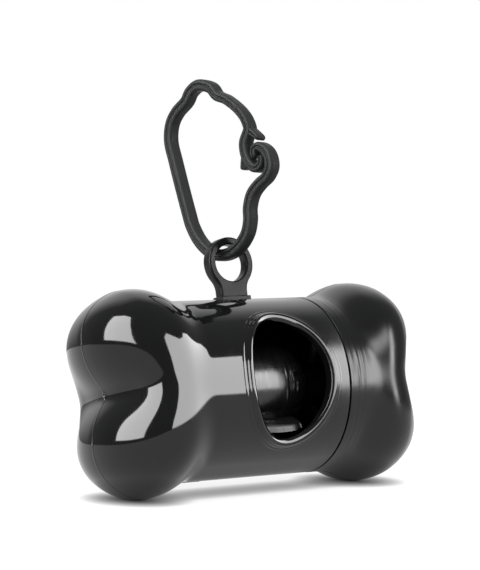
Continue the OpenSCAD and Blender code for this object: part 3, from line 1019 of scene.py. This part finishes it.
# Camera, as the photograph was taken: angles in radians, distance and aim in millimetres
PHOTO_W = 480
SENSOR_W = 36
CAM_TURN = 0.6119
CAM_RISE = -0.1266
CAM_ROLL = -0.1153
CAM_DISTANCE = 504.96
CAM_FOCAL_PIXELS = 2227.09
CAM_AIM = Vector((2.173, 0.0, 23.429))


def make_camera():
    look = Vector((math.sin(CAM_TURN) * math.cos(CAM_RISE), math.cos(CAM_TURN) * math.cos(CAM_RISE),
                   -math.sin(CAM_RISE)))
    level = Vector((math.cos(CAM_TURN), -math.sin(CAM_TURN), 0))
    above = level.cross(look)
    right = math.cos(CAM_ROLL) * level + math.sin(CAM_ROLL) * above
    up = -math.sin(CAM_ROLL) * level + math.cos(CAM_ROLL) * above
    data = bpy.data.cameras.new("photo_camera")
    data.sensor_fit = "HORIZONTAL"
    data.sensor_width = SENSOR_W
    data.lens = CAM_FOCAL_PIXELS / PHOTO_W * SENSOR_W
    data.clip_start, data.clip_end = 0.01, 20
    camera = add_object("photo_camera", data)
    axes = Matrix((right, up, -look)).transposed().to_4x4()
    place = CAM_AIM + Vector((0, 0, AXIS_Z)) - look * CAM_DISTANCE
    camera.matrix_world = Matrix.Translation(place * MM) @ axes
    bpy.context.scene.camera = camera


# Stage: the bone lies rolled back a little in the photograph, so the floor leans instead
LEAN = math.radians(11.04)
SIDEWAYS = Vector((1, 0, 0))
FLOOR_UP = Vector((0, -math.sin(LEAN), math.cos(LEAN)))
FLOOR_BACK = Vector((0, math.cos(LEAN), math.sin(LEAN)))
STAGE_MIDDLE = Vector((0, 0, AXIS_Z * MM))
FLOOR_HALF = 450
FLOOR_LINES = 13
FLOOR_SHADE = 0.3
FLOOR_ROUGH = 0.6
FLOOR_GLOW = 0.86
# Reach of the painted contact shadow that dims the floor's glow, in metres
PAINTED_SHADOW_REACH = 5 * MM


def studio_way(azimuth, elevation):
    """Direction seen from the object, from the front round to +X and up from the floor."""
    turn, rise = math.radians(azimuth), math.radians(elevation)
    return (SIDEWAYS * math.sin(turn) * math.cos(rise) - FLOOR_BACK * math.cos(turn) * math.cos(rise)
            + FLOOR_UP * math.sin(rise))


def floor_material():
    """White floor: glows to the camera and in gloss, with a painted contact shadow that dims the glow
    where things touch, clear from below.
    """
    made, tree, shader = new_material("white_floor")
    shader.inputs["Base Color"].default_value = (*[FLOOR_SHADE] * 3, 1)
    shader.inputs["Roughness"].default_value = FLOOR_ROUGH
    shader.inputs["Specular IOR Level"].default_value = 0.0
    path = add_node(tree, "LightPath").outputs
    seen = combine(tree, "MAXIMUM", path["Is Camera Ray"], path["Is Glossy Ray"])
    # Painted contact shadow: ambient occlusion darkens the floor's glow close to what stands on it
    painted_contact_shadow = add_node(tree, "AmbientOcclusion", {"Distance": PAINTED_SHADOW_REACH}).outputs["AO"]
    strength = combine(tree, "MULTIPLY", combine(tree, "MULTIPLY", seen, FLOOR_GLOW), painted_contact_shadow)
    glow = add_node(tree, "Emission", {"Color": WHITE, "Strength": strength}).outputs[0]
    above = add_shaders(tree, shader.outputs[0], glow)
    below = add_node(tree, "BsdfTransparent").outputs[0]
    from_below = add_node(tree, "NewGeometry").outputs["Backfacing"]
    surface = mix_shaders(tree, from_below, above, below)
    tree.links.new(surface, tree.nodes["Material Output"].inputs["Surface"])
    return made


def make_floor(bone):
    """Leaning floor under the bone's lowest point."""
    lowest = min(FLOOR_UP.dot(vertex.co) for vertex in bone.data.vertices)
    steps = [float(step) for step in np.linspace(-FLOOR_HALF, FLOOR_HALF, FLOOR_LINES)]
    skin = Skin()
    skin.strip([np.array([FLOOR_UP * lowest / MM + SIDEWAYS * x + FLOOR_BACK * y for x in steps])
                for y in steps], closed=False)
    floor = skin.build("floor", lift=0)
    if floor.data.polygons[0].normal.dot(FLOOR_UP) < 0:
        floor.data.flip_normals()
    floor.data.materials.append(floor_material())


def card_mesh(name, outline, distance, soft):
    """Fan of directions round a card's middle, whose glow falls to nothing at the border."""
    ways = [studio_way(azimuth, elevation) for azimuth, elevation in outline]
    middle = sum(ways, Vector()).normalized()
    points, glows = [STAGE_MIDDLE + middle * distance], [1.0]
    for share, glow in ((1 - soft, 1.0), (1 - soft / 2, 0.5), (1.0, 0.0)):
        points += [STAGE_MIDDLE + middle.lerp(way, share).normalized() * distance for way in ways]
        glows += [glow] * len(ways)
    count = len(ways)
    faces = [(0, 1 + i, 1 + (i + 1) % count) for i in range(count)]
    for first in (1, 1 + count):
        for i in range(count):
            j = (i + 1) % count
            faces.append((first + i, first + j, first + count + j, first + count + i))
    mesh = bpy.data.meshes.new(name)
    mesh.from_pydata([point[:] for point in points], [], faces)
    mesh.attributes.new("glow", "FLOAT", "POINT").data.foreach_set("value", glows)
    return mesh


def card_material(name, strength):
    """Light that is added to what lies behind the card."""
    made, tree, shader = new_material(name)
    share = add_node(tree, "Attribute", attribute_name="glow").outputs["Fac"]
    light = add_node(tree, "Emission", {"Strength": combine(tree, "MULTIPLY", share, strength)}).outputs[0]
    surface = add_shaders(tree, light, add_node(tree, "BsdfTransparent").outputs[0])
    tree.links.new(surface, tree.nodes["Material Output"].inputs["Surface"])
    tree.nodes.remove(shader)
    return made


def make_card(name, outline, distance, strength, soft, seen_by=()):
    """Glowing card seen only in gloss, by every piece or by the given ones."""
    card = add_object(name, card_mesh(name, outline, distance, soft))
    card.data.materials.append(card_material(name, strength))
    card.visible_camera = False
    card.visible_diffuse = False
    card.visible_shadow = False
    card.visible_transmission = False
    if seen_by:
        card.light_linking.receiver_collection = bpy.data.collections.new(name + "_pieces")
        for piece in seen_by:
            card.light_linking.receiver_collection.objects.link(piece)


def make_lamp(name, azimuth, elevation, distance, side, power):
    """Square lamp that lights without showing in reflections."""
    data = bpy.data.lights.new(name, "AREA")
    data.shape = "RECTANGLE"
    data.size, data.size_y = side, side
    data.energy = power
    lamp = add_object(name, data)
    way = studio_way(azimuth, elevation)
    lamp.location = way * distance + STAGE_MIDDLE
    lamp.rotation_euler = way.to_track_quat("Z", "Y").to_euler()
    lamp.visible_glossy = False
    lamp.visible_camera = False


# Strength of the white surroundings: as seen, in gloss and on rough surfaces
SKY_SEEN, SKY_GLOSS, SKY_ROUGH = 1.0, 0.3, 0.35


def make_world():
    world = bpy.data.worlds.new("studio")
    bpy.context.scene.world = world
    world.use_nodes = True
    tree = world.node_tree
    tree.nodes.clear()
    seen, gloss, rough = (add_node(tree, "Background", {"Color": WHITE, "Strength": strength}).outputs[0]
                          for strength in (SKY_SEEN, SKY_GLOSS, SKY_ROUGH))
    path = add_node(tree, "LightPath").outputs
    straight = combine(tree, "MAXIMUM", path["Is Camera Ray"], path["Is Transmission Ray"])
    surface = mix_shaders(tree, straight, mix_shaders(tree, path["Is Glossy Ray"], rough, gloss), seen)
    add_node(tree, "OutputWorld", {"Surface": surface})


# Outlines of the reflection cards, as azimuths and elevations in degrees
LEFT_CARD = [(-112, 3), (-94, 2.5), (-76, 2), (-81, 26), (-88, 42), (-97, 53), (-110, 52), (-124, 44),
             (-117, 23)]
RIGHT_CARD = [(-30, -2), (25, -2), (84, -2), (86, 20), (76, 33), (60, 39), (46, 37), (28, 37), (8, 40),
              (-12, 42), (-23, 34), (-24, 15)]
SHORT_CARD = [(31, -2), (38, -2), (45, -2), (46, 20), (45, 36), (38, 38), (31, 32), (31, 15)]
NEAR_CARD = [(6, 23), (20, 22), (36, 24), (36, 41), (20, 43), (6, 41)]
BACK_CARD = [(105, -3), (155, -3), (205, -3), (205, 55), (155, 70), (105, 60)]

make_camera()
housing = moulded_plastic("black_gloss_plastic", DEEP_BLACK, rough=(0.05, 0.09), wave=0.05, grain=0.02,
                          worn=(0.002, 0.015, 0.2))
cap_gloss = moulded_plastic("black_worn_plastic", DEEP_BLACK, rough=(0.2, 0.26), wave=0.05, grain=0.02)
soft_black = moulded_plastic("black_soft_plastic", SOFT_BLACK, rough=(0.34, 0.42), wave=0.08, grain=0.04,
                             ior=1.27)
satin = moulded_plastic("charcoal_satin_plastic", CHARCOAL, rough=(0.5, 0.6), wave=0.02, grain=0.0,
                        ior=1.25)
black_film = film_material()

barrel = dress(make_barrel(), "barrel", housing, "barrel_shell")
eyelet = dress(make_eyelet(), "barrel", soft_black)
pad = dress(make_pad(), "barrel", soft_black)
dress(make_stub(), "barrel", housing)
cap = dress(make_cap(), "cap", cap_gloss, "screw_cap")
dress(make_cap_post(), "cap", cap_gloss)
strap = dress(sweep_strap("clip_strap", LOOP_POINTS, STRAP_D), "clip", satin, "strap_clip")
ear = dress(sweep_strap("clip_ear", EAR_POINTS, BRANCH_D, (False, True)), "clip", satin)
heel = dress(sweep_strap("clip_heel", HEEL_POINTS, BRANCH_D, (False, True)), "clip", satin)
film = dress(make_film(), "roll", black_film, "bag_roll")
lip = dress(make_lip(), "roll", black_film)
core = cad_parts["roll_core"]
core.data.materials.clear()
core.data.materials.append(core_material())

make_floor(barrel)
make_card("left_card", LEFT_CARD, distance=0.6, strength=15, soft=0.05)
make_card("right_card", RIGHT_CARD, distance=0.5, strength=14, soft=0.06, seen_by=(barrel,))
make_card("short_card", SHORT_CARD, distance=0.5, strength=14, soft=0.2,
          seen_by=(eyelet, pad, cap, strap, ear, heel, film, lip))
make_card("near_card", NEAR_CARD, distance=0.19, strength=9, soft=0.6, seen_by=(cap, film, lip))
make_card("back_card", BACK_CARD, distance=0.9, strength=0.9, soft=0.5)
make_lamp("front_lamp", -50, 55, distance=1.6, side=1.2, power=16)
make_lamp("top_lamp", 20, 85, distance=1.8, side=1.6, power=16)
make_world()
bpy.context.scene.view_settings.view_transform = "Standard"
